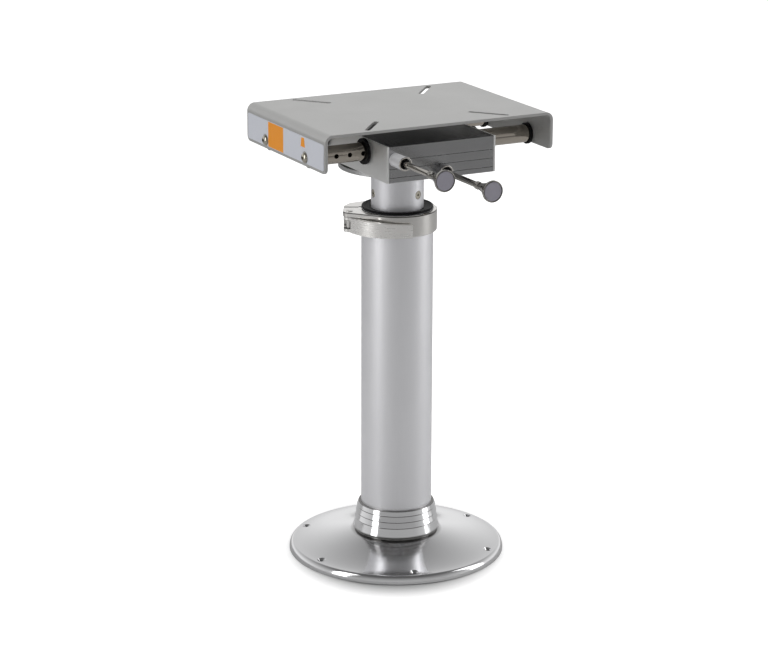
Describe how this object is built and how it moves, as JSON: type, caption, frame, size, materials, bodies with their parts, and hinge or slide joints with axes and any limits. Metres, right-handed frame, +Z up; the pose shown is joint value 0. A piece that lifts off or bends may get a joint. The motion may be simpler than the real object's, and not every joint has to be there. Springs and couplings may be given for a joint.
{
  "type": "boat seat pedestal",
  "caption": "Telescoping seat pedestal with a round deck base, column clamp, swivel carriage and a seat plate that slides on rails.",
  "frame": {"origin": "the column's axis at the underside of the deck base, on the flat face of its central boss", "axes": "+Z up along the column, +X along the seat slide, -Y toward the two lock knobs"},
  "size_m": [0.3546, 0.4164, 0.64],
  "materials": {
    "cast_aluminium": "polished casting",
    "satin_aluminium": "satin anodised",
    "anodised_grey": "grey anodised",
    "bright_steel": "polished",
    "rail_chrome": "bright",
    "plain_steel": "plain",
    "black_plastic": "matt",
    "plate_grey": "satin",
    "inlay_grey": "matt"
  },
  "bodies": {
    "pedestal": {"base_flange": "cast_aluminium", "outer_tube": "satin_aluminium", "upper_guide_bush": "black_plastic", "clamp_band": "bright_steel", "clamp_bolt": "bright_steel", "clamp_nut": "bright_steel", "clamp_pin": "bright_steel"},
    "clamp_lever": {"clamp_lever": "bright_steel"},
    "riser": {"inner_tube": "satin_aluminium", "lower_guide_bush": "black_plastic", "swivel_head": "anodised_grey", "spindle_post": "plain_steel", "spindle_screw_1": "bright_steel", "spindle_screw_2": "bright_steel", "spindle_screw_3": "bright_steel", "friction_washer": "black_plastic", "thrust_washer": "black_plastic", "spindle_nut": "plain_steel"},
    "carriage": {"carriage_block": "anodised_grey", "end_plate_left": "anodised_grey", "end_plate_right": "anodised_grey", "rail_bush_front_left": "black_plastic", "rail_bush_front_right": "black_plastic", "rail_bush_rear_left": "black_plastic", "rail_bush_rear_right": "black_plastic", "slide_lock_housing": "anodised_grey", "slide_lock_ring": "bright_steel", "slide_lock_guide": "black_plastic", "slide_lock_spring": "plain_steel", "swivel_lock_housing": "anodised_grey", "swivel_lock_ring": "bright_steel", "swivel_lock_guide": "black_plastic", "swivel_lock_spring": "plain_steel"},
    "slide_lock": {"slide_lock_rod": "bright_steel", "slide_lock_knob": "bright_steel", "slide_lock_inlay": "inlay_grey"},
    "swivel_lock": {"swivel_lock_rod": "bright_steel", "swivel_lock_knob": "bright_steel", "swivel_lock_inlay": "inlay_grey"},
    "seat": {"seat_plate": "plate_grey", "front_rail": "rail_chrome", "rear_rail": "rail_chrome", "rail_plug_front_left": "plain_steel", "rail_plug_front_right": "plain_steel", "rail_plug_rear_left": "plain_steel", "rail_plug_rear_right": "plain_steel", "rail_stop_front_left": "black_plastic", "rail_stop_front_right": "black_plastic", "rail_stop_rear_left": "black_plastic", "rail_stop_rear_right": "black_plastic", "rail_screw_front_left": "bright_steel", "rail_screw_front_right": "bright_steel", "rail_screw_rear_left": "bright_steel", "rail_screw_rear_right": "bright_steel"}
  },
  "joints": [
    {"name": "height_slide", "type": "slide", "parent": "pedestal", "child": "riser", "axis": [0, 0, 1], "range_m": [-0.05, 0.11]},
    {"name": "clamp_swing", "type": "hinge", "parent": "pedestal", "child": "clamp_lever", "pos_m": [-0.06857, 0.01137, 0.481], "axis": [0, 0, 1], "range_deg": [-100, 0]},
    {"name": "swivel", "type": "hinge", "parent": "riser", "child": "carriage", "pos_m": [0, 0, 0.57], "axis": [0, 0, 1], "continuous": true},
    {"name": "seat_slide", "type": "slide", "parent": "carriage", "child": "seat", "axis": [1, 0, 0], "range_m": [-0.08, 0.076]},
    {"name": "slide_lock_pull", "type": "slide", "parent": "carriage", "child": "slide_lock", "axis": [0, -1, 0], "range_m": [0, 0.01], "stiffness_N_per_m": 600, "springref_m": -0.005, "deforming": ["slide_lock_spring"]},
    {"name": "swivel_lock_pull", "type": "slide", "parent": "carriage", "child": "swivel_lock", "axis": [0, -1, 0], "range_m": [0, 0.01], "stiffness_N_per_m": 600, "springref_m": -0.005, "deforming": ["swivel_lock_spring"]}
  ]
}
